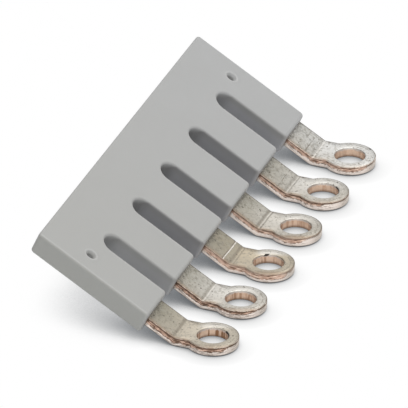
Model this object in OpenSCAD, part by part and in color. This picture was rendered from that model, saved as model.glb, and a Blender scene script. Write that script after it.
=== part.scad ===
// Insulated jumper for a row of stud terminals.
// A stamped comb joins the terminals: one eye on each stud, a bent strip behind each eye,
// and a bar across the strips. A plastic plate is moulded round the bar and the strips.
// X runs along the row, the eyes lie level with their undersides at Z = 0,
// and the plate rises towards +Y. The origin is the middle of the row of eyes.

/* [Row] */
// Number of terminals that the jumper joins
ways = 6; // [2:1:12]
// Distance from one terminal stud to the next
pitch = 8.2; // [7.6:0.1:12]

/* [Eyes] */
// Bore that drops over the stud
eye_bore = 3.2; // [2.2:0.1:3.8]
// Outside diameter of the eye
eye_d = 5.4; // [4.8:0.1:6.4]
// Fillet where the strip runs into the eye
neck_fillet = 0.4; // [0.2:0.05:0.8]
// Eye centre to the fold line, along the upper side
eye_to_fold = 3.4; // [3.2:0.1:6]

/* [Comb] */
// Thickness of the sheet
sheet_t = 1; // [0.6:0.05:1.5]
// Width of each strip
strip_w = 4; // [2.8:0.1:4.4]
// Angle between the eyes and the plate
bend_angle = 30; // [10:1:60]
// Inside radius of the fold
bend_r = 0.5; // [0.2:0.05:0.9]
// Bare strip from the fold line to the front of the plate
strip_reach = 3.4; // [2.5:0.1:8]
// Width of the bar that joins the strips
bar_w = 3.2; // [1.5:0.1:3.8]
// Fillet in the corners between the strips and the bar
root_fillet = 0.6; // [0.2:0.05:1]

/* [Plate] */
// Depth of the plate from its front to its back
plate_depth = 13.8; // [13.2:0.1:20]
// Plastic above and below the comb
skin = 0.7; // [0.5:0.05:1.5]
// Plastic beside the outermost strips
end_wall = 0.6; // [0.45:0.05:2]
// Plastic behind the bar
back_wall = 1.2; // [0.5:0.05:2]
// Lean of the front and back faces from square
face_lean = 7; // [0:0.5:12]
// Rounding of the upper and lower edges
edge_r = 0.3; // [0.1:0.05:0.45]
// Rounding of the upright corners
corner_r = 0.4; // [0.1:0.05:0.45]

/* [Slots] */
// Width of the slot between two fingers
slot_w = 2.6; // [1.6:0.1:3]
// Depth of the slot from the front of the plate
slot_depth = 8.3; // [4:0.1:8.6]

/* [Pin marks] */
// Diameter of the two round marks that the pins of the mould left in the plate
pin_d = 1.1; // [0.6:0.05:1.6]
// Depth of the marks
pin_depth = 0.4; // [0.1:0.05:0.6]
// Centre of a mark to the front of the plate
pin_from_front = 8.35; // [2:0.05:9]

/* [Hidden] */
$fn = 64;
// Spare length that carries a cut clear of the face it leaves
clear = 1;
// Share of its radius at which a rounding's centre stands off a face, so that it meets the face at a clear angle
stand_off = 0.99;
row_l = (ways - 1) * pitch;
bar_l = row_l + strip_w;
plate_l = bar_l + 2 * end_wall;
plate_t = sheet_t + 2 * skin;
plate_front = strip_reach;
plate_back = plate_front + plate_depth;
bar_back = plate_back - back_wall;
slot_r = slot_w / 2;
slot_end = plate_front + slot_depth - slot_r;
lean_run = plate_t * tan(face_lean);
bend_run = bend_r * tan(bend_angle / 2);
fillet_x = strip_w / 2 + neck_fillet;
fillet_y = sqrt(pow(eye_d / 2 + neck_fillet, 2) - pow(fillet_x, 2));
stud_x = [for (i = [0:ways - 1]) i * pitch - row_l / 2];
slot_x = [for (i = [0:ways - 2]) (i + 0.5) * pitch - row_l / 2];
// Corners of the plate's section: distance behind the fold line, then height above the strip
section = [
    [plate_front - lean_run, -sheet_t - skin],
    [plate_back - lean_run, -sheet_t - skin],
    [plate_back, skin],
    [plate_front, skin]
];

function unit(v) = v / norm(v);
// Inward normal of the side that starts at corner i of a counterclockwise outline
function inward(points, i) =
    let (n = len(points), side = unit(points[(i + 1) % n] - points[i % n]))
    [-side.y, side.x];
// Centre of the rounding at corner i
function corner_centre(points, i, r) =
    let (n = len(points), a = inward(points, i + n - 1), b = inward(points, i))
    points[i] + r * (a + b) / (1 + a * b);

// A convex outline with its corners rounded
module rounded(points, r) {
    n = len(points);
    polygon([for (i = [0:n - 1], side = [n - 1, 0]) corner_centre(points, i, r) - r * inward(points, i + side)]);
    for (i = [0:n - 1])
        translate(corner_centre(points, i, r))
            circle(r);
}

// The part of a slot's mouth that lies outside its rounded edges
module flare(w, r) {
    difference() {
        translate([-w / 2 - r, 0])
            square([w + 2 * r, r + clear]);
        for (side = [-1, 1])
            translate([side * (w / 2 + r), 0])
                circle(r);
    }
}

// From the fold line, lies a child in the sloping plane of the strips' upper side
module on_slope() {
    translate([0, eye_to_fold, sheet_t])
        rotate([bend_angle, 0, 0])
            children();
}

// Draws a side view across the row
module across(w) {
    rotate([90, 0, 90])
        linear_extrude(w, center = true)
            children();
}

// Side view of one strip: level neck, fold, and slope up to the back of the bar
module strip_side() {
    polygon([[0, 0], [eye_to_fold - bend_run, 0], [eye_to_fold, sheet_t], [0, sheet_t]]);
    translate([eye_to_fold - bend_run, sheet_t + bend_r])
        intersection() {
            difference() {
                circle(bend_r + sheet_t);
                circle(bend_r);
            }
            rotate(bend_angle - 90)
                translate([0, -bend_r - sheet_t])
                    square(bend_r + sheet_t);
            rotate(-90)
                square(bend_r + sheet_t);
        }
    translate([eye_to_fold, sheet_t])
        rotate(bend_angle)
            polygon([[0, 0], [bend_run, -sheet_t], [bar_back, -sheet_t], [bar_back, 0]]);
}

// Plan of one eye with the fillets that lead into the strip
module eye_plan() {
    circle(d = eye_d);
    difference() {
        polygon([[0, 0], [fillet_x, fillet_y], [-fillet_x, fillet_y]]);
        for (side = [-1, 1])
            translate([side * fillet_x, fillet_y])
                circle(neck_fillet);
    }
}

// Plan of the bar, with fillets in the corners that the strips make with it
module bar_plan() {
    front = bar_back - bar_w;
    translate([-row_l / 2, front])
        square([row_l, bar_w]);
    for (x = slot_x, side = [-1, 1])
        translate([x + side * (pitch - strip_w) / 2, front])
            difference() {
                square(2 * root_fillet, center = true);
                translate(-stand_off * root_fillet * [side, 1])
                    circle(root_fillet);
            }
}

// The comb before its eyes are pierced
module comb_blank() {
    for (x = stud_x)
        translate([x, 0, 0]) {
            across(strip_w)
                strip_side();
            linear_extrude(sheet_t)
                eye_plan();
        }
    on_slope()
        translate([0, 0, -sheet_t])
            linear_extrude(sheet_t)
                bar_plan();
}

// Section of a gap through the plate, with its upper and lower edges rounded
module gap_section(w) {
    square([w, plate_t + clear], center = true);
    for (face = [0, 1])
        mirror([0, face])
            translate([0, plate_t / 2 - stand_off * edge_r])
                flare(w, edge_r);
}

// A gap that runs in from the front of the plate
module gap(w, reach) {
    start = plate_front - lean_run - clear;
    translate([0, start + reach, skin - plate_t / 2])
        rotate([90, 0, 0])
            linear_extrude(reach)
                gap_section(w);
}

// The round closed end of a slot
module slot_bottom() {
    translate([0, slot_end, skin - plate_t / 2])
        rotate_extrude()
            intersection() {
                gap_section(slot_w);
                translate([0, -plate_t])
                    square([slot_w, 2 * plate_t]);
            }
}

// Rounds the two upright corners beside a gap, along the leaning front or back face
module upright_corners(w, back = 0) {
    translate([0, back ? plate_back : plate_front, skin])
        rotate([-face_lean, 0, 0])
            mirror([0, 1 - back, 0])
                translate([0, -stand_off * corner_r, -plate_t - clear])
                    linear_extrude(plate_t + 2 * clear)
                        flare(w, corner_r);
}

// The moulding before the pins leave their marks and the comb takes its room
module plate_blank() {
    past_end = plate_l / 2 + clear;
    difference() {
        across(2 * past_end)
            rounded(section, edge_r);
        for (x = slot_x)
            translate([x, 0, 0]) {
                gap(slot_w, slot_end - plate_front + lean_run + clear);
                slot_bottom();
                upright_corners(slot_w);
            }
        for (end = [-past_end, past_end])
            translate([end, 0, 0]) {
                gap(2 * clear, plate_depth + lean_run + 2 * clear);
                for (back = [0, 1])
                    upright_corners(2 * clear, back);
            }
    }
}

module contact_comb() {
    color([0.80, 0.78, 0.72])
        difference() {
            comb_blank();
            for (x = stud_x)
                translate([x, 0, -clear])
                    cylinder(d = eye_bore, h = sheet_t + 2 * clear);
        }
}

module insulating_plate() {
    color([0.70, 0.70, 0.69])
        difference() {
            on_slope()
                difference() {
                    plate_blank();
                    for (x = [stud_x[0], stud_x[ways - 1]])
                        translate([x, plate_front + pin_from_front, skin - pin_depth])
                            cylinder(d = pin_d, h = pin_depth + clear);
                }
            comb_blank();
        }
}

contact_comb();
insulating_plate();
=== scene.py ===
"""Looks of the terminal jumper: a stamped, tinned copper comb in a grey moulded plate."""

import math

import bmesh
import bpy
from bmesh.types import BMEdge, BMVert
from mathutils import Matrix, Vector


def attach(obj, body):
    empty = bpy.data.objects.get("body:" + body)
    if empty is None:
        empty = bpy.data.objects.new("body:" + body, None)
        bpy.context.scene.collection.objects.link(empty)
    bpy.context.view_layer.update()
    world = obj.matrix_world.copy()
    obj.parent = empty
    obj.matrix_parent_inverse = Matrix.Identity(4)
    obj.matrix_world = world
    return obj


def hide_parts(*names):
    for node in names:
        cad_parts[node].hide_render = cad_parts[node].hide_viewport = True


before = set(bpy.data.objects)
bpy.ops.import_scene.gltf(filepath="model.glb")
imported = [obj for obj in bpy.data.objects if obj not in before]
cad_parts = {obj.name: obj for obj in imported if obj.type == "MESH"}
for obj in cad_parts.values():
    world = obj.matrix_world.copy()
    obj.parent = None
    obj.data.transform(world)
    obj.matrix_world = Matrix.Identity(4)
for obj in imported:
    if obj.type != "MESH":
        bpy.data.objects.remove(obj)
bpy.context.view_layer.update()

MM_PER_M = 1000

# Sizes in millimetres, as in the part's source
WAYS, PITCH = 6, 8.2
EYE_R, BORE_R, NECK_FILLET, EYE_TO_FOLD = 2.7, 1.6, 0.4, 3.4
SHEET, STRIP_W, BEND, BEND_R, REACH = 1.0, 4.0, math.radians(30), 0.5, 3.4
BAR_W, BACK_WALL = 3.2, 1.2
PLATE_DEPTH, SKIN, END_WALL, LEAN = 13.8, 0.7, 0.6, math.radians(7)
EDGE_R, CORNER_R = 0.3, 0.4
SLOT_W, SLOT_DEPTH = 2.6, 8.3
PIN_R, PIN_DEPTH, PIN_FROM_FRONT = 0.55, 0.4, 8.35

# Traces of stamping and moulding that only the looks carry
DIE_ROLL, BORE_ROLL, BURR = 0.2, 0.1, 0.04
PIN_LIP, PIN_LIP_W = 0.03, 0.3
# Section of a pin mark from its lip to its bottom: distance outside the rim, height above the plate
PIN_SECTION = ((0.2, PIN_LIP), (0.08, PIN_LIP), (0, -0.05), (-0.1, -0.2), (-0.22, -0.33), (-0.36, -PIN_DEPTH))
# Half the side of the square field that a pin mark is set into
PIN_FIELD = 1.2
# How much the hidden bar gives way on each side, so that its faces don't coincide with those of the strips
BAR_INSET_Y, BAR_INSET_Z = 0.1, 0.05

# Segments of the round stretches, of the straight ones beside the eye, and of the rounded edges
EYE_STEPS, FILLET_STEPS, FOLD_STEPS, SLOT_STEPS, PIN_STEPS = 72, 4, 6, 24, 48
NECK_STEPS, REAR_STEPS = 4, 12
ROLL_STEPS, BURR_STEPS, CORNER_STEPS, EDGE_STEPS = 4, 1, 5, 6
# Points closer than this are one point
TOUCH = 1e-4
# Edges that bend by more than this, in radians, are rounded off, and are shaded as sharp
SHARP, SHADED_SHARP = 1, math.radians(50)
# Upright share of a normal, past which a face is level, or is one of the sheet's two sides
LEVEL, SHEET_SIDE = 0.999, 0.83

ROW = (WAYS - 1) * PITCH
PLATE_L = ROW + STRIP_W + 2 * END_WALL
PLATE_T = SHEET + 2 * SKIN
FRONT, BACK = REACH, REACH + PLATE_DEPTH
SLOT_END = FRONT + SLOT_DEPTH
BAR_BACK = BACK - BACK_WALL
LEAN_RUN = PLATE_T * math.tan(LEAN)
BEND_RUN = BEND_R * math.tan(BEND / 2)
STUDS = [i * PITCH - ROW / 2 for i in range(WAYS)]
SLOTS = [(i + 0.5) * PITCH - ROW / 2 for i in range(WAYS - 1)]
X, Y, Z = Matrix.Identity(3)
# From the sloping plane of the strips' upper side, with its fold line at Y = 0, to the row frame
ON_SLOPE = Matrix.Translation((0, EYE_TO_FOLD, SHEET)) @ Matrix.Rotation(BEND, 4, "X")


# Meshes

def picked(geometry, kind):
    """The elements of one kind."""
    return [g for g in geometry if isinstance(g, kind)]


def arc(bm, start, centre, angle, steps):
    """Draws an arc from a vertex and gives its last vertex."""
    made = bmesh.ops.spin(bm, geom=[start], cent=centre, axis=Z, angle=angle, steps=steps)
    return picked(made["geom_last"], BMVert)[0]


def line(bm, start, end, steps=1):
    """Draws a straight line of edges from a vertex and gives its last vertex."""
    first = start.co.copy()
    for i in range(steps):
        made = bmesh.ops.extrude_vert_indiv(bm, verts=[start])
        start = made["verts"][0]
        start.co = first.lerp(Vector(end), (i + 1) / steps)
    return start


def push(bm, edges, by):
    """Extrudes edges by a step and gives the new edges."""
    made = bmesh.ops.extrude_edge_only(bm, edges=edges)["geom"]
    bmesh.ops.translate(bm, vec=by, verts=picked(made, BMVert))
    return [e for e in picked(made, BMEdge) if len(e.link_faces) == 1]


def round_off(bm, edges, radius, segments):
    bmesh.ops.bevel(
        bm, geom=edges, offset=radius, offset_type="OFFSET", affect="EDGES", segments=segments,
        profile=0.5, material=-1, clamp_overlap=False, loop_slide=True,
    )


def depth_in_sheet(p):
    """How far a point of the comb lies below the sheet's upper side."""
    back, up = p.y - EYE_TO_FOLD, p.z - SHEET
    return max(-up, back * math.sin(BEND) - up * math.cos(BEND))


def draw_lug(bm):
    """One lug: the upper side of the eye, neck, fold and strip, given the thickness of the sheet."""
    fillet = Vector((STRIP_W / 2 + NECK_FILLET, 0, SHEET))
    fillet.y = math.sqrt((EYE_R + NECK_FILLET) ** 2 - fillet.x ** 2)
    turn = math.atan2(fillet.y, fillet.x)
    fold = EYE_TO_FOLD - BEND_RUN
    v = first = bm.verts.new((STRIP_W / 2, fold, SHEET))
    v = line(bm, v, (STRIP_W / 2, fillet.y, SHEET), NECK_STEPS)
    v = arc(bm, v, fillet, turn, FILLET_STEPS)
    v = arc(bm, v, Z * SHEET, -math.pi - 2 * turn, EYE_STEPS)
    v = arc(bm, v, (-fillet.x, fillet.y, SHEET), turn, FILLET_STEPS)
    v = line(bm, v, (-STRIP_W / 2, fold, SHEET), NECK_STEPS)
    line(bm, v, first.co, REAR_STEPS)
    bmesh.ops.remove_doubles(bm, verts=bm.verts, dist=TOUCH)
    outline = bm.edges[:]
    made = bmesh.ops.extrude_edge_only(bm, edges=outline)["geom"]
    for v in picked(made, BMVert):
        v.co = v.co.xy.normalized().to_3d() * BORE_R + Z * SHEET
    rear = [e for e in outline if all(abs(v.co.y - fold) < TOUCH for v in e.verts)]
    made = bmesh.ops.spin(
        bm, geom=rear, cent=(0, fold, SHEET + BEND_R), axis=X, angle=BEND, steps=FOLD_STEPS,
    )
    up_slope = Vector((0, math.cos(BEND), math.sin(BEND)))
    push(bm, picked(made["geom_last"], BMEdge), up_slope * (BAR_BACK - BEND_RUN))
    bmesh.ops.recalc_face_normals(bm, faces=bm.faces)
    if sum(f.normal.z for f in bm.faces) < 0:
        bmesh.ops.reverse_faces(bm, faces=bm.faces)
    bmesh.ops.solidify(bm, geom=bm.faces[:], thickness=SHEET)
    bmesh.ops.recalc_face_normals(bm, faces=bm.faces)


def sharp_rims(bm, depth):
    """Sharp edges that run round the sheet at a depth."""
    return [
        e for e in bm.edges
        if len(e.link_faces) == 2 and e.calc_face_angle() > SHARP
        and all(abs(depth_in_sheet(v.co) - depth) < 0.1 * SHEET for v in e.verts)
    ]


def in_bore(edge):
    return all(v.co.xy.length < BORE_R + TOUCH for v in edge.verts)


def make_comb():
    """Six lugs with rolled lower rims, burred upper rims and pierced bores, and the bar that joins them."""
    bm = bmesh.new()
    draw_lug(bm)
    round_off(bm, [e for e in sharp_rims(bm, SHEET) if not in_bore(e)], DIE_ROLL, ROLL_STEPS)
    upper = sharp_rims(bm, 0)
    round_off(bm, [e for e in upper if not in_bore(e)], BURR, BURR_STEPS)
    round_off(bm, [e for e in upper if e.is_valid and in_bore(e)], BORE_ROLL, ROLL_STEPS)
    tinned, sheared = 0, 1
    for f in bm.faces:
        middle = f.calc_center_median()
        rolled = middle.xy.length < BORE_R + BORE_ROLL and depth_in_sheet(middle) < BORE_ROLL
        f.material_index = tinned if abs(f.normal.z) > SHEET_SIDE or rolled else sheared
        f.smooth = True
    lug = bm.verts[:] + bm.edges[:] + bm.faces[:]
    bmesh.ops.translate(bm, vec=X * STUDS[0], verts=bm.verts)
    for x in STUDS[1:]:
        made = bmesh.ops.duplicate(bm, geom=lug)["geom"]
        bmesh.ops.translate(bm, vec=X * (x - STUDS[0]), verts=picked(made, BMVert))
    bar = Matrix.Translation((0, BAR_BACK - BAR_W / 2, -SHEET / 2))
    bar = bar @ Matrix.Diagonal((ROW, BAR_W - 2 * BAR_INSET_Y, SHEET - 2 * BAR_INSET_Z, 1))
    bmesh.ops.create_cube(bm, size=1, matrix=ON_SLOPE @ bar)
    return finished(bm, "stamped_comb", [tinned_sheet(), sheared_edge()])


def pin_mark(bm, x):
    """A round mark with a low lip, in the plate's upper side."""
    at = Vector((x, FRONT + PIN_FROM_FRONT, SKIN))
    for axis in (X, Y):
        for side in (-PIN_FIELD, PIN_FIELD):
            top = [f for f in bm.faces if f.normal.z > LEVEL and abs(f.calc_center_median().z - SKIN) < TOUCH]
            border = [g for g in bm.edges[:] + bm.verts[:] if any(f in top for f in g.link_faces)]
            bmesh.ops.bisect_plane(
                bm, geom=top + border, dist=0.1 * TOUCH, plane_co=at + axis * side, plane_no=axis,
            )
    field = min(bm.faces, key=lambda f: (f.calc_center_bounds() - at).length)
    square = field.edges[:]
    bmesh.ops.delete(bm, geom=[field], context="FACES_ONLY")
    ring = bmesh.ops.create_circle(
        bm, segments=PIN_STEPS, radius=PIN_R + PIN_LIP_W, matrix=Matrix.Translation(at),
    )["verts"]
    edges = [e for e in bm.edges if all(v in ring for v in e.verts)]
    bmesh.ops.triangle_fill(bm, edges=square + edges, use_beauty=True, normal=Z)
    for outside, height in PIN_SECTION:
        edges = push(bm, edges, Z * 0)
        for v in {v for e in edges for v in e.verts}:
            v.co = at + (v.co - at).xy.normalized().to_3d() * (PIN_R + outside) + Z * height
    bmesh.ops.contextual_create(bm, geom=edges)


def make_plate():
    """The moulding, drawn in the sloping plane and then laid on it."""
    bm = bmesh.new()
    end = SLOT_END - SLOT_W / 2
    v = first = bm.verts.new((-PLATE_L / 2, FRONT, SKIN))
    for x in SLOTS:
        v = line(bm, v, (x - SLOT_W / 2, FRONT, SKIN))
        v = line(bm, v, (x - SLOT_W / 2, end, SKIN))
        v = arc(bm, v, (x, end, SKIN), -math.pi, SLOT_STEPS)
        v = line(bm, v, (x + SLOT_W / 2, FRONT, SKIN))
    v = line(bm, v, (PLATE_L / 2, FRONT, SKIN))
    v = line(bm, v, (PLATE_L / 2, BACK, SKIN))
    v = line(bm, v, (-PLATE_L / 2, BACK, SKIN))
    line(bm, v, first.co)
    bmesh.ops.remove_doubles(bm, verts=bm.verts, dist=TOUCH)
    bmesh.ops.contextual_create(bm, geom=bm.edges[:])
    made = bmesh.ops.extrude_face_region(bm, geom=bm.faces[:])["geom"]
    low = picked(made, BMVert)
    bmesh.ops.translate(bm, vec=Z * -PLATE_T, verts=low)
    leaning = [v for v in low if min(abs(v.co.y - FRONT), abs(v.co.y - BACK)) < TOUCH]
    bmesh.ops.translate(bm, vec=Y * -LEAN_RUN, verts=leaning)
    bmesh.ops.recalc_face_normals(bm, faces=bm.faces)
    upright = [
        e for e in bm.edges
        if abs(e.verts[0].co.z - e.verts[1].co.z) > PLATE_T / 2 and e.calc_face_angle() > SHARP
    ]
    round_off(bm, upright, CORNER_R, CORNER_STEPS)
    rims = [
        e for e in bm.edges
        if e.calc_face_angle() > SHARP and abs(e.verts[0].co.z - e.verts[1].co.z) < TOUCH
    ]
    round_off(bm, rims, EDGE_R, EDGE_STEPS)
    for x in (STUDS[0], STUDS[-1]):
        pin_mark(bm, x)
    for f in bm.faces:
        f.smooth = True
    bmesh.ops.transform(bm, matrix=ON_SLOPE, verts=bm.verts)
    bmesh.ops.recalc_face_normals(bm, faces=bm.faces)
    return finished(bm, "moulded_plate", [grey_moulding()])


def finished(bm, name, materials):
    """A piece in metres, with even shading on its flat sides."""
    bmesh.ops.scale(bm, vec=Vector((1, 1, 1)) / MM_PER_M, verts=bm.verts)
    mesh = bpy.data.meshes.new(name)
    bm.to_mesh(mesh)
    bm.free()
    for m in materials:
        mesh.materials.append(m)
    mesh.set_sharp_from_angle(angle=SHADED_SHARP)
    piece = bpy.data.objects.new(name, mesh)
    bpy.context.scene.collection.objects.link(piece)
    even = piece.modifiers.new("even shading", "WEIGHTED_NORMAL")
    even.keep_sharp = True
    return piece


# Nodes

class Reading:
    """What a node puts out at each point of a surface. Sums of readings are written as sums."""

    def __init__(self, tree, socket):
        self.tree = tree
        self.socket = socket

    def calc(self, operation, *terms):
        return read(self.tree, "ShaderNodeMath", *terms, settings={"operation": operation})

    def __add__(self, other):
        return self.calc("ADD", self, other)

    def __radd__(self, other):
        return self.calc("ADD", other, self)

    def __sub__(self, other):
        return self.calc("SUBTRACT", self, other)

    def __rsub__(self, other):
        return self.calc("SUBTRACT", other, self)

    def __mul__(self, other):
        return self.calc("MULTIPLY", self, other)

    def __truediv__(self, other):
        return self.calc("DIVIDE", self, other)

    def __rtruediv__(self, other):
        return self.calc("DIVIDE", other, self)

    def __pow__(self, other):
        return self.calc("POWER", self, other)

    def __abs__(self):
        return self.calc("ABSOLUTE", self)

    def __floor__(self):
        return self.calc("FLOOR", self)


def feed(socket, value):
    """Links a reading to a socket, or sets the socket to a plain value."""
    if isinstance(value, Reading):
        value.tree.links.new(value.socket, socket)
    else:
        socket.default_value = value


def put(tree, kind, *values, settings=None, **named):
    """Places a node and feeds its inputs, in their order or by name with _ for a space."""
    node = tree.nodes.new(kind)
    for name, value in (settings or {}).items():
        setattr(node, name, value)
    for socket, value in zip(node.inputs, values):
        feed(socket, value)
    for name, value in named.items():
        feed(node.inputs[name.replace("_", " ")], value)
    return node


def read(tree, kind, *values, output=0, **more):
    """Places a node and reads one of its outputs."""
    return Reading(tree, put(tree, kind, *values, **more).outputs[output])


def object_place(tree):
    return read(tree, "ShaderNodeTexCoord", output="Object")


def most(first, *more):
    """The largest of some readings."""
    for term in more:
        first = first.calc("MAXIMUM", first, term)
    return first


def root(value):
    return value.calc("SQRT", value)


def ease(value, start, end, low=0.0, high=1.0):
    """A smooth step from low to high as a value goes from start to end."""
    smooth = {"interpolation_type": "SMOOTHSTEP"}
    return read(value.tree, "ShaderNodeMapRange", value, start, end, low, high, settings=smooth)


def band(value, middle, inner, outer):
    """A stripe round a middle value: full within the inner distance, gone at the outer one."""
    return ease(abs(value - middle), outer, inner)


def blend(share, under, over):
    """One colour laid over another."""
    node = put(share.tree, "ShaderNodeMix", share, settings={"data_type": "RGBA"})
    for socket, colour in ((node.inputs[6], under), (node.inputs[7], over)):
        feed(socket, colour if isinstance(colour, Reading) else (*colour, 1))
    return Reading(share.tree, node.outputs[2])


# Effects that the materials share, on places in millimetres

def effect(name, work, **inputs):
    """A node group. A function works out its outputs by name, from inputs with plain values to start with."""
    tree = bpy.data.node_groups.new(name, "ShaderNodeTree")
    for n, value in inputs.items():
        socket = tree.interface.new_socket(
            n.replace("_", " "), in_out="INPUT", socket_type="NodeSocketFloat",
        )
        socket.default_value = value
    given = put(tree, "NodeGroupInput").outputs
    found = work(tree, *(Reading(tree, socket) for _, socket in zip(inputs, given)))
    for n in found:
        tree.interface.new_socket(n, in_out="OUTPUT", socket_type="NodeSocketFloat")
    put(tree, "NodeGroupOutput", *found.values())
    return tree


def sheet_place(tree):
    """Where a point lies: in the thickness of the sheet, on the slope, in its own lug and along the row."""
    here = object_place(tree)
    mm = read(tree, "ShaderNodeVectorMath", here, settings={"operation": "SCALE"}, Scale=MM_PER_M)
    x, y, z = (Reading(tree, socket) for socket in put(tree, "ShaderNodeSeparateXYZ", mm).outputs)
    back, up = y - EYE_TO_FOLD, z - SHEET
    s, c = math.sin(BEND), math.cos(BEND)
    step = (x + (ROW + PITCH) / 2) / PITCH
    lug = math.floor(step)
    across = (step - lug - 0.5) * PITCH
    return {
        "Depth": most(up * -1, back * s - up * c),
        "Slope": back * c + up * s,
        "Across": across,
        "Ahead": y,
        "Radius": root(across * across + y * y),
        "Lug": (lug + 0.5) / WAYS,
        "Along": step / WAYS,
    }


def mottle(tree, grain, detail, contrast):
    """Clouds of a given grain, from 0 to 1."""
    noise = read(
        tree, "ShaderNodeTexNoise", object_place(tree), Scale=MM_PER_M / grain, Detail=detail, Roughness=0.6,
    )
    return {"Cloud": read(tree, "ShaderNodeClamp", (noise - 0.5) * contrast + 0.5)}


def hairlines(tree, mesh):
    """A web of wavering hairlines of a given mesh."""
    here = object_place(tree)
    shake = read(tree, "ShaderNodeTexNoise", here, output="Color", Scale=1.3 * MM_PER_M, Detail=3.0)
    shake = read(tree, "ShaderNodeVectorMath", shake, settings={"operation": "SCALE"}, Scale=0.9 / MM_PER_M)
    bent = read(tree, "ShaderNodeVectorMath", here, shake, settings={"operation": "ADD"})
    web = read(
        tree, "ShaderNodeTexVoronoi", bent, settings={"feature": "DISTANCE_TO_EDGE"}, Scale=MM_PER_M / mesh,
    )
    return {"Line": ease(web, 0.05, 0.01)}


def drawn_out(tree, grain, shares, roughness):
    """Noise whose grain is drawn out along the axes that have small shares."""
    drawn = read(tree, "ShaderNodeMapping", object_place(tree), Scale=[MM_PER_M * s for s in shares])
    return read(tree, "ShaderNodeTexNoise", drawn, Scale=1.0 / grain, Detail=3.0, Roughness=roughness)


def shear_streaks(tree, grain):
    """Fine lines along the thickness of the sheet."""
    return {"Streak": ease(drawn_out(tree, grain, (1, 1, 0.12), 0.55), 0.25, 0.75)}


def rolling_grain(tree, grain):
    """Fine lines along the strips, as rolled sheet has them."""
    return {"Grain": ease(drawn_out(tree, grain, (1, 0.16, 0.16), 0.6), 0.35, 0.7)}


def torn_layers(tree, depth, across, ahead):
    """Wavering layers along a sheared edge, from 0 to 1."""
    here = read(tree, "ShaderNodeCombineXYZ", across * 1.4, ahead * 1.4, depth * 7.0)
    noise = read(tree, "ShaderNodeTexNoise", here, Scale=1.0, Detail=4.0, Roughness=0.6)
    return {"Layer": ease(noise, 0.3, 0.7)}


PLACE = effect("sheet place", sheet_place)
MOTTLE = effect("mottle", mottle, Grain_mm=1.0, Detail=4.0, Contrast=1.0)
HAIRLINES = effect("hairlines", hairlines, Mesh_mm=1.0)
STREAKS = effect("shear streaks", shear_streaks, Grain_mm=0.15)
ROLLING = effect("rolling grain", rolling_grain, Grain_mm=0.16)
LAYERS = effect("torn layers", torn_layers, Depth=0.0, Across=0.0, Ahead=0.0)


# Materials

# Lugs are counted from the near end of the row
NEAR, CHIPPED, FAR = 0, 2, WAYS - 1
# Directions from the centre of an eye: across the lug, and towards the plate
NEARWARD, TIPWARD, WORN_SIDE, BURRED_SIDE = (-0.94, -0.34), (0.34, -0.94), (-0.65, -0.75), (0.43, -0.90)
# A nick in the rim of the far eye: its place from the centre of the eye, and its radius
NICK, NICK_R = (2.06, -1.52), 0.2

TIN = {
    "bright": (0.75, 0.735, 0.70),
    "clouded": (0.67, 0.66, 0.635),
    "aged": (0.61, 0.52, 0.385),
    "browned": (0.51, 0.445, 0.34),
    "dull": (0.32, 0.305, 0.24),
    "handled": (0.20, 0.175, 0.13),
    "rolled line": (0.40, 0.38, 0.32),
    "shaded neck": (0.44, 0.39, 0.32),
    "worn": (0.38, 0.345, 0.285),
    "fleck": (0.33, 0.30, 0.25),
    "lightened": (0.86, 0.83, 0.77),
    "brown edge": (0.17, 0.135, 0.10),
    "rolled over": (0.33, 0.255, 0.19),
    "crease_mark_and_shade": (0.22, 0.19, 0.15),
    "ridge_highlight": (0.90, 0.85, 0.79),
    "stain": (0.19, 0.175, 0.14),
    "speck": (0.10, 0.08, 0.06),
    "near_black": (0.05, 0.045, 0.04),
}
COPPER = {
    "dark": (0.18, 0.11, 0.075),
    "red": (0.68, 0.455, 0.35),
    "bright": (0.95, 0.755, 0.62),
    "bore": (0.90, 0.62, 0.40),
    "bore shade": (0.38, 0.225, 0.15),
    "bore stripe": (0.36, 0.19, 0.10),
    "dark smear": (0.38, 0.31, 0.26),
    "pale smear": (0.95, 0.83, 0.75),
    "tin smear": (0.84, 0.78, 0.72),
    "tip": (0.40, 0.355, 0.30),
    "tear": (0.13, 0.08, 0.05),
    "rim": (0.24, 0.175, 0.125),
    "burr": (0.86, 0.76, 0.67),
    "blackish": (0.04, 0.033, 0.027),
    "near_black": (0.06, 0.04, 0.03),
}
PLASTIC = {
    "grey": (0.465, 0.465, 0.455),
    "pale": (0.50, 0.50, 0.495),
    "warm": (0.47, 0.465, 0.435),
    "near end": (0.465, 0.46, 0.415),
    "grain": (0.36, 0.36, 0.36),
    "lightened": (0.60, 0.595, 0.575),
    "upper wall": (0.345, 0.34, 0.33),
    "lower wall": (0.395, 0.395, 0.41),
    "middle wall": (0.21, 0.205, 0.215),
    "near wall": (0.50, 0.50, 0.48),
    "closed end": (0.19, 0.185, 0.18),
    "pin shade": (0.12, 0.12, 0.115),
    "pin lip": (0.60, 0.60, 0.585),
}


def blank_material(name):
    made = bpy.data.materials.new(name)
    made.use_nodes = True
    made.node_tree.nodes.clear()
    return made


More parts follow.
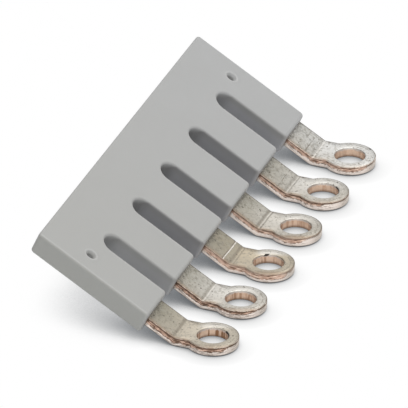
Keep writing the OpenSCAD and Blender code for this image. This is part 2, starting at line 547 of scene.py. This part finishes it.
class Finish:
    """A material, with the readings that tell where a point of its surface lies."""

    def __init__(self, name):
        self.material = blank_material(name)
        self.tree = self.material.node_tree
        self.shader = put(self.tree, "ShaderNodeBsdfPrincipled")
        put(self.tree, "ShaderNodeOutputMaterial", Reading(self.tree, self.shader.outputs[0]))
        place = put(self.tree, "ShaderNodeGroup", settings={"node_tree": PLACE}).outputs
        self.depth, self.slope, self.across, self.ahead, self.radius, self.lug, self.along = (
            Reading(self.tree, socket) for socket in place
        )

    def effect(self, group, **inputs):
        return read(self.tree, "ShaderNodeGroup", settings={"node_tree": group}, **inputs)

    def cloud(self, grain, contrast=1.6, detail=4.0):
        return self.effect(MOTTLE, Grain_mm=grain, Contrast=contrast, Detail=detail)

    def per_lug(self, *shares):
        """A share for each lug, from the near end of the row to the far end."""
        ramp = put(self.tree, "ShaderNodeValToRGB", self.lug)
        ramp.color_ramp.interpolation = "CONSTANT"
        stops = ramp.color_ramp.elements
        while len(stops) < WAYS:
            stops.new(1)
        for i, share in enumerate(shares):
            stops[i].position = i / WAYS
            stops[i].color = (share, share, share, 1)
        return Reading(self.tree, ramp.outputs[0])

    def only(self, lug):
        """Full on one lug, and nothing on the others."""
        return self.per_lug(*(float(i == lug) for i in range(WAYS)))

    def way(self, direction):
        """How far a point lies from the centre of its eye in a direction."""
        return self.across * direction[0] + self.ahead * direction[1]

    def spot(self, place, radius):
        """A small mark at one place on a lug."""
        here = read(self.tree, "ShaderNodeCombineXYZ", self.across, self.ahead, 0.0)
        apart = read(
            self.tree, "ShaderNodeVectorMath", here, (*place, 0.0),
            settings={"operation": "DISTANCE"}, output="Value",
        )
        return ease(apart, radius, 0.4 * radius)

    def coated(self, colour, roughness, height, height_mm, strength, **plain):
        """Feeds the shader and gives the material."""
        bump = read(
            self.tree, "ShaderNodeBump", Strength=strength, Distance=height_mm / MM_PER_M, Height=height,
        )
        for name, value in {"Base_Color": colour, "Roughness": roughness, "Normal": bump, **plain}.items():
            feed(self.shader.inputs[name.replace("_", " ")], value)
        return self.material


def bore_flaws(metal):
    """Thin dark burrs with painted shadow at one side of some bores, and a chip in the rim of one."""
    depth, radius = metal.depth, metal.radius
    rim = ease(radius, BORE_R + 0.15, BORE_R + 0.1) * ease(depth, 0.26, 0.16)
    # Painted shadow of a burr at one side of some bores
    burr = ease(metal.way(BURRED_SIDE) / radius, 0.84, 0.9) * rim * band(depth, 0.1, 0.07, 0.13)
    burr = burr * metal.per_lug(1.0, 0.1, 0.3, 0.15, 0.9, 0.15)
    ragged = metal.way(TIPWARD) + depth * 1.2 + metal.cloud(0.25) * 0.3
    chip = band(ragged, 0.05, 0.16, 0.26) * rim * ease(metal.across, 1.0, 1.2) * metal.only(CHIPPED)
    return most(burr, chip)


def tinned_sheet():
    """Matt tin on the rolled sides: bright necks, worn eyes, and stains behind the fold; dark lines at the
    fold and a darkening up the strips that are partly painted shade, painted shade where the strips go into
    the plate, and painted highlights near the fold.
    """
    tin = Finish("tinned_sheet")
    slope, across, ahead, radius = tin.slope, tin.across, tin.ahead, tin.radius
    broad, fine = tin.cloud(1.6), tin.cloud(0.2)
    behind_fold = ease(slope, -0.3, 0.3)
    colour = blend(
        tin.per_lug(0.78, 0.25, 1.0, 0.35, 0.25, 0.0),
        blend(broad, TIN["bright"], TIN["clouded"]),
        blend(broad, TIN["aged"], TIN["browned"]),
    )
    # Darker up the strips towards the plate: partly dull tin, partly painted shade from the plate
    dull = ease(slope, 0.0, REACH) * (0.3 + broad * 0.4) * tin.per_lug(1.7, 1.15, 1.6, 1.25, 1.0, 0.25)
    colour = blend(dull, colour, TIN["dull"])
    handled = behind_fold * tin.per_lug(0.24, 0.16, 0.3, 0.12, 0.15, 0.1)
    colour = blend(handled, colour, TIN["handled"])
    grain = tin.effect(ROLLING) * behind_fold * tin.per_lug(0.5, 0.4, 0.45, 0.5, 0.4, 0.3)
    colour = blend(grain, colour, TIN["rolled line"])
    # The necks darken towards one side, and the eyes are worn towards their tips
    shaded = ease(across, 0.6, -1.8) * ease(ahead, 0.6, 1.6) * 0.35
    colour = blend(shaded, colour, TIN["shaded neck"])
    worn = ease(tin.way(WORN_SIDE), -1.2, 1.6) * tin.per_lug(0.7, 0.45, 0.65, 0.75, 0.65, 0.15)
    colour = blend(worn * ease(fine, 0.0, 0.7, 0.3, 1.0), colour, TIN["worn"])
    flecks = ease(tin.cloud(0.3, 2.6, 3.0), 0.52, 0.92, 0.0, 0.62)
    colour = blend(flecks, colour, TIN["fleck"])
    nearward = tin.way(NEARWARD)
    lightened = ease(nearward, -1.1, -2.0) * ease(ahead, 2.2, 1.2)
    lightened = lightened * tin.per_lug(0.65, 0.5, 0.8, 0.3, 0.4, 0.3)
    colour = blend(lightened, colour, TIN["lightened"])
    # Brown along the sheared edges, broad where the sheet rolled over on one side
    on_eye, on_strip = ease(ahead, 2.0, 1.4), ease(ahead, 1.4, 2.2)
    ring = ease(radius, EYE_R - 0.15, EYE_R - 0.04) * on_eye
    side = ease(abs(across), STRIP_W / 2 - 0.2, STRIP_W / 2 - 0.05) * on_strip
    colour = blend(most(ring, side) * ease(fine, 0.2, 0.7, 0.5, 0.95), colour, TIN["brown edge"])
    rolled_eye = ease(nearward, 1.7, 2.35) * on_eye * tin.per_lug(0.6, 0.75, 0.95, 1.0, 0.45, 0.3)
    rolled_strip = ease(across, 0.6 - STRIP_W / 2, 0.05 - STRIP_W / 2) * on_strip
    rolled_strip = rolled_strip * tin.per_lug(0.7, 0.85, 0.9, 0.9, 0.85, 0.6)
    rolled_over = most(rolled_eye, rolled_strip) * ease(tin.cloud(0.6), 0.1, 0.6, 0.5, 1.0)
    colour = blend(rolled_over, colour, TIN["rolled over"])
    # Rings that washers pressed into the eyes
    pressed = band(radius + broad * 0.1, 2.3, 0.02, 0.08)
    pressed = pressed * ease(tin.cloud(0.8), 0.4, 0.6) * ease(ahead, 1.7, 1.0) * 0.6
    colour = blend(pressed, colour, TIN["crease_mark_and_shade"])
    # A dark line in the crease of the fold, partly a mark and partly painted shade, and lines that the
    # folding die left across some strips
    up_strip = slope + (broad - 0.5) * 0.12
    crease_mark_and_shade = band(up_strip, 0.2, 0.05, 0.28) * ease(fine, 0.1, 0.6, 0.55, 0.9)
    crease_mark_and_shade = crease_mark_and_shade * tin.per_lug(0.65, 0.5, 0.55, 0.65, 0.4, 0.2)
    second = band(up_strip, -0.18, 0.03, 0.11) * tin.per_lug(0.1, 0.1, 0.4, 0.6, 0.45, 0.15)
    struck = band(up_strip, 1.06, 0.02, 0.09) * ease(tin.cloud(0.7), 0.35, 0.55)
    struck = struck * tin.per_lug(0.05, 0.0, 0.75, 0.1, 0.7, 0.7)
    # A painted highlight along a raised ridge on one strip, and a painted glint beside the fold on some
    ridge_highlight = band(up_strip, 0.94, 0.03, 0.09) * ease(tin.cloud(0.4), 0.3, 0.6, 0.45, 1.0)
    ridge_highlight = ridge_highlight * tin.per_lug(0.0, 0.0, 0.9, 0.0, 0.0, 0.0)
    glint = band(up_strip, -0.04, 0.02, 0.09) * tin.per_lug(0.0, 0.3, 0.0, 0.1, 0.1, 0.4)
    dark_lines = most(crease_mark_and_shade, second, struck)
    colour = blend(dark_lines, colour, TIN["crease_mark_and_shade"])
    colour = blend(most(ridge_highlight, glint), colour, TIN["ridge_highlight"])
    # Crazed tin, stains, specks, and painted shade where the strip goes into the plate
    crazed = tin.effect(HAIRLINES, Mesh_mm=0.9) * ease(tin.cloud(1.1), 0.4, 0.6) * behind_fold
    crazed = crazed * tin.per_lug(0.3, 0.25, 0.35, 0.3, 0.45, 0.55)
    stain = ease(tin.cloud(0.5, 2.2), 0.5, 0.85) * ease(slope, 0.3, 3.0)
    stain = stain * tin.per_lug(0.6, 0.8, 0.65, 0.65, 0.6, 0.5)
    colour = blend(most(crazed, stain), colour, TIN["stain"])
    speck = ease(tin.cloud(0.34, 2.2, 2.0), 0.82, 0.93) * 0.85
    colour = blend(speck, colour, TIN["speck"])
    nick = tin.spot(NICK, NICK_R) * tin.only(FAR)
    # Painted shade where the strip goes into the plate, in the same near black as the nick and the bore flaws
    near_black = ease(slope, REACH - 1.2, REACH - 0.04, 0.0, 0.8) * ease(fine, 0.2, 0.6, 0.3, 1.0)
    colour = blend(most(nick, near_black * near_black, bore_flaws(tin)), colour, TIN["near_black"])
    height = fine + ridge_highlight - (dark_lines + crazed)
    roughness = ease(fine, 0.0, 1.0, 0.34, 0.52)
    return tin.coated(colour, roughness, height, height_mm=0.02, strength=0.6, Metallic=0.9)


def sheared_edge():
    """The cut edge: bare copper in its upper part, smeared tin below, torn and tarnished where they meet,
    with painted shade low on the edge and in the bores, and a painted highlight on the burr.
    """
    cut = Finish("sheared_edge")
    depth, ahead, radius = cut.depth, cut.ahead, cut.radius
    broad, fine = cut.cloud(0.9), cut.cloud(0.12)
    streak, wide_streak = cut.effect(STREAKS), cut.effect(STREAKS, Grain_mm=0.4)
    in_the_bore = ease(radius, BORE_R + 0.3, BORE_R + 0.15)
    outside = 1.0 - in_the_bore
    # How deep the bare copper reaches: along the strip, then round the eye until it runs out near the tip
    last = cut.per_lug(0.65, 0.65, 0.9, 0.5, 0.1, 0.8) * -2.0 - 0.6
    on_eye = ease(ahead - last, -0.5, 0.4, 0.25, 1.0) * cut.per_lug(0.5, 0.42, 0.6, 0.5, 0.45, 0.52)
    on_strip = cut.per_lug(0.6, 0.52, 0.62, 0.45, 0.5, 0.5)
    waver = broad * 0.34 + streak * 0.14 - 0.24
    reach = ease(ahead, 2.1, 1.7, on_strip, on_eye) + waver + in_the_bore * 2.0
    below = depth - reach
    entry = in_the_bore * ease(depth - streak * 0.15, 0.26, 0.1)
    bare = ease(below, 0.08, -0.08) * (1.0 - entry)
    # Layers along the outer edges, streaks down the bores
    layer = cut.effect(LAYERS, Depth=depth, Across=cut.across, Ahead=ahead)
    layer = layer - cut.per_lug(0.3, 0.3, 0.0, 0.0, 0.1, 0.05)
    in_streaks = wide_streak * cut.per_lug(1.9, 1.1, 1.2, 1.2, 1.1, 1.2)
    in_streaks = in_streaks + cut.per_lug(-0.2, 0.2, 0.4, 0.3, 0.52, 0.7)
    layer = ease(in_the_bore, 0.0, 1.0, layer, in_streaks)
    copper = blend(ease(layer, 0.0, 0.4), COPPER["dark"], COPPER["red"])
    copper = blend(ease(layer, 0.4, 1.0), copper, COPPER["bright"])
    copper = blend(in_the_bore * 0.35, copper, COPPER["bore"])
    tipward = cut.way(TIPWARD) / radius
    bore_shade = most(ease(depth, 0.65, 1.0, 0.0, 0.75), ease(abs(tipward), 0.75, 1.0, 0.0, 0.7))
    copper = blend(in_the_bore * bore_shade, copper, COPPER["bore shade"])
    stripes = in_the_bore * ease(wide_streak, 0.55, 0.3) * cut.per_lug(0.95, 0.35, 0.4, 0.15, 0.1, 0.2)
    copper = blend(stripes, copper, COPPER["bore stripe"])
    smeared = blend(ease(layer, -0.2, 0.4), COPPER["dark smear"], COPPER["pale smear"])
    smeared = blend(most(entry, broad * 0.3), smeared, COPPER["tin smear"])
    colour = blend(bare, smeared, copper)
    tip = ease(tipward, 0.45, 0.85, 0.0, 0.6) * ease(ahead, 0.6, -0.4) * outside
    colour = blend(tip, colour, COPPER["tip"])
    # Torn brown lines where the copper ends and under the burr
    torn = band(below, 0.0, 0.03, 0.1) * ease(cut.cloud(0.5), 0.42, 0.6) * outside
    torn = torn * cut.per_lug(0.7, 0.8, 0.35, 0.5, 0.7, 0.6)
    tear = band(depth, 0.12, 0.05, 0.12) * ease(cut.cloud(0.6), 0.3, 0.55, 0.45, 1.0) * outside
    torn = most(torn, tear * cut.per_lug(0.9, 0.9, 0.3, 0.6, 0.9, 0.6))
    colour = blend(torn, colour, COPPER["tear"])
    rim = ease(depth, 0.11, 0.06) * outside * cut.per_lug(0.45, 0.25, 0.65, 0.8, 0.4, 0.0)
    colour = blend(rim, colour, COPPER["rim"])
    # A painted highlight along the burr at the top of the edge
    burr = ease(depth, 0.07, 0.03) * outside * ease(cut.cloud(0.4), 0.3, 0.6)
    colour = blend(burr * cut.per_lug(0.6, 0.9, 0.15, 0.2, 0.4, 1.0), colour, COPPER["burr"])
    # Painted shade along the lower rim of the edges and low in the bores, and the bore flaws in the same near
    # black
    blackish = ease(depth - in_the_bore * 0.12, 0.79, 0.97, 0.0, 0.94)
    colour = blend(most(blackish, bore_flaws(cut)), colour, COPPER["blackish"])
    # Painted shade where the strip goes into the plate
    near_black = ease(cut.slope, REACH - 0.5, REACH - 0.02) * 0.85
    colour = blend(near_black, colour, COPPER["near_black"])
    height = streak * 0.5 + fine - torn * 2.0
    roughness = ease(bare, 0.0, 1.0, 0.32, 0.5)
    return cut.coated(colour, roughness, height, height_mm=0.03, strength=0.6, Metallic=0.85)


def grey_moulding():
    """Light grey plastic with the fine matt grain of its mould, a little warmer towards the near end as a
    painted tint of the light, with painted shade in the slots and pin marks and painted highlights along some
    rims.
    """
    plastic = Finish("grey_moulding")
    slope, across, along = plastic.slope, plastic.across, plastic.along
    width, below = abs(across), plastic.depth + SKIN
    broad, grain = plastic.cloud(6.0, 1.2, 3.0), plastic.cloud(0.12, 1.5)
    # From the middle of a finger to its sides, and to the plate's end
    finger, end = (PITCH - SLOT_W) / 2, STRIP_W / 2 + END_WALL
    colour = blend(broad, PLASTIC["grey"], PLASTIC["pale"])
    # A painted warm tint of the light, growing towards the near end of the row and strongest on the near end
    # face
    colour = blend(ease(along, 1.0, 0.0, 0.0, 0.6), colour, PLASTIC["warm"])
    near_end = ease(across, 0.2 - end, 0.05 - end) * plastic.only(NEAR)
    far_end = ease(across, end - 0.2, end - 0.05) * plastic.only(FAR)
    colour = blend(near_end * 0.7, colour, PLASTIC["near end"])
    colour = blend(grain * 0.12, colour, PLASTIC["grain"])
    # Painted highlight along the upper rims on the near side of the slots, and along the upper rim of the
    # plate's near end
    lightened = band(across, finger - 0.27, 0.05, 0.16) * ease(slope, SLOT_END - 0.8, SLOT_END - 1.8)
    lightened = most(lightened, band(across, 0.22 - end, 0.05, 0.16) * plastic.only(NEAR))
    colour = blend(lightened * ease(below, 0.3, 0.1) * 0.4, colour, PLASTIC["lightened"])
    # Painted shade on the walls of the slots, deepest at their closed ends and in the middle of the row, with
    # painted light from below on their lower parts and on the slot nearest the near end
    onset = ease(slope, SLOT_END - 1.4, SLOT_END - 0.4, 0.18, 0.9)
    wall_shade = ease(width, finger - 0.32, finger - 0.04) * (1.0 - most(near_end, far_end))
    wall_shade = wall_shade * ease(slope, SLOT_END + EDGE_R + 0.1, SLOT_END + EDGE_R)
    wall_shade = wall_shade * ease(below, 0.0, onset) * ease(below, PLATE_T - 0.05, PLATE_T - 0.3)
    middle = band(along, 0.53, 0.18, 0.32)
    shade = blend(ease(below, 0.4, 1.1), PLASTIC["upper wall"], PLASTIC["lower wall"])
    shade = blend(middle * 0.43, shade, PLASTIC["middle wall"])
    shade = blend(ease(along, 0.32, 0.24, 0.0, 0.35), shade, PLASTIC["near wall"])
    closed = ease(slope, SLOT_END - 1.8, SLOT_END - 0.3) * ease(middle, 0.0, 1.0, 0.65, 1.0)
    shade = blend(closed, shade, PLASTIC["closed end"])
    colour = blend(wall_shade * 0.85, colour, shade)
    # Painted shade in the bottoms of the pin marks, and pale lips round them
    behind_pin = slope - (FRONT + PIN_FROM_FRONT)
    off_pin = root(width * width + behind_pin * behind_pin)
    pin_shade = ease(off_pin, 0.9 * PIN_R, 0.5 * PIN_R) * band(below, PIN_DEPTH, 0.2, 0.35)
    colour = blend(pin_shade * 0.9, colour, PLASTIC["pin shade"])
    lip = band(off_pin, PIN_R + 0.12, 0.06, 0.16) * ease(below, 0.1, 0.05)
    colour = blend(lip * plastic.per_lug(0.45, 0.0, 0.0, 0.0, 0.0, 0.45), colour, PLASTIC["pin lip"])
    roughness = ease(grain, 0.0, 1.0, 0.42, 0.54)
    return plastic.coated(colour, roughness, grain, height_mm=0.012, strength=0.5, Specular_IOR_Level=0.45)


# Pieces

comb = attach(make_comb(), "root")
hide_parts("contact_comb")
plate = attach(make_plate(), "root")
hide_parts("insulating_plate")


# Stage, in metres

FLOOR_HALF, FLOOR_GAP = 1.5, 0.00003
PAPER, SHADOW, WHITE = (0.84, 0.86, 0.90), (0.155, 0.166, 0.178), (1, 1, 1)
# Reach of the floor's soft shade and of the close one, and the way that the close one leans
WIDE_SHADE, CLOSE_SHADE, SHADE_LEAN = 0.010, 0.002, (1.32, 0.48, 1.0)
SKY, SKY_SHINE, SKY_LIGHT = (0.97, 0.985, 1.0), 0.55, 0.3
AIM = Vector((0, 0.006, 0.003))
# The photograph's view: a long lens from beyond the near end of the row
AZIMUTH, ELEVATION, ROLL = math.radians(-70.376), math.radians(28.850), math.radians(1.447)
DISTANCE, PICTURE_W = 1.2716, 0.041717
PICTURE_RIGHT, PICTURE_UP = -0.007970, 0.004958


def seen_rays(tree, share=1.0):
    """Rays that show a backdrop: to the camera, or for a share of it by way of a shiny or clear surface."""
    path = put(tree, "ShaderNodeLightPath").outputs
    names = ("Is Camera Ray", "Is Glossy Ray", "Is Transmission Ray")
    to_camera, shiny, clear = (Reading(tree, path[n]) for n in names)
    return most(to_camera, most(shiny, clear) * share)


def white_floor():
    """Paper that lights the part from below, and is seen as white with a close shadow under the part."""
    made = blank_material("white_floor")
    tree = made.node_tree
    paper = read(tree, "ShaderNodeBsdfDiffuse", (*PAPER, 1))
    few = {"samples": 16}
    wide = read(tree, "ShaderNodeAmbientOcclusion", output="AO", settings=few, Distance=WIDE_SHADE)
    # The light leans in from the far end of the row, so the closest shade falls towards the near end
    lean = read(tree, "ShaderNodeVectorMath", SHADE_LEAN, settings={"operation": "NORMALIZE"})
    close = read(
        tree, "ShaderNodeAmbientOcclusion", output="AO", settings=few, Distance=CLOSE_SHADE, Normal=lean,
    )
    shade = blend(ease(wide, 0.055, 0.77), SHADOW, WHITE)
    shown = read(tree, "ShaderNodeEmission", shade, close ** 0.4)
    both = read(tree, "ShaderNodeMixShader", seen_rays(tree), paper, shown)
    put(tree, "ShaderNodeOutputMaterial", both)
    return made


def lay_floor():
    bm = bmesh.new()
    bmesh.ops.create_grid(
        bm, x_segments=1, y_segments=1, size=FLOOR_HALF, matrix=Matrix.Translation(Z * -FLOOR_GAP),
    )
    mesh = bpy.data.meshes.new("floor")
    bm.to_mesh(mesh)
    bm.free()
    mesh.materials.append(white_floor())
    floor = bpy.data.objects.new("floor", mesh)
    bpy.context.scene.collection.objects.link(floor)
    return floor


def light_world():
    """An even studio light, shown as white to the camera and brighter to shiny surfaces than to dull ones."""
    world = bpy.data.worlds.new("studio")
    world.use_nodes = True
    sky = world.node_tree.nodes["Background"]
    feed(sky.inputs["Color"], (*SKY, 1))
    feed(sky.inputs["Strength"], most(seen_rays(world.node_tree, SKY_SHINE), SKY_LIGHT))
    bpy.context.scene.world = world


def softbox(name, place, size, power):
    lamp = bpy.data.lights.new(name, "AREA")
    lamp.shape = "SQUARE"
    lamp.size = size
    lamp.energy = power
    box = bpy.data.objects.new(name, lamp)
    box.location = place
    box.rotation_euler = (Vector(place) - AIM).to_track_quat("Z", "Y").to_euler()
    bpy.context.scene.collection.objects.link(box)


def set_camera():
    right = Vector((math.cos(AZIMUTH), math.sin(AZIMUTH), 0))
    level = math.cos(ELEVATION)
    back = Vector((math.sin(AZIMUTH) * level, -math.cos(AZIMUTH) * level, math.sin(ELEVATION)))
    turn = Matrix.Rotation(ROLL, 3, back)
    right, up = turn @ right, turn @ back.cross(right)
    view = bpy.data.cameras.new("camera")
    view.sensor_width = 36
    view.lens = view.sensor_width * DISTANCE / PICTURE_W
    view.clip_start, view.clip_end = 0.05, 10
    camera = bpy.data.objects.new("camera", view)
    place = Matrix((right, up, back)).transposed().to_4x4()
    place.translation = right * PICTURE_RIGHT + up * PICTURE_UP + back * DISTANCE
    camera.matrix_world = place
    bpy.context.scene.collection.objects.link(camera)
    bpy.context.scene.camera = camera
    bpy.context.scene.view_settings.view_transform = "Standard"


floor = lay_floor()
light_world()
softbox("overhead", place=(0.08, -0.12, 0.45), size=0.6, power=1.76)
softbox("front", place=(-0.33, -0.16, 0.14), size=0.3, power=0.25)
softbox("behind", place=(0.36, 0.16, 0.24), size=0.35, power=0.2)
set_camera()
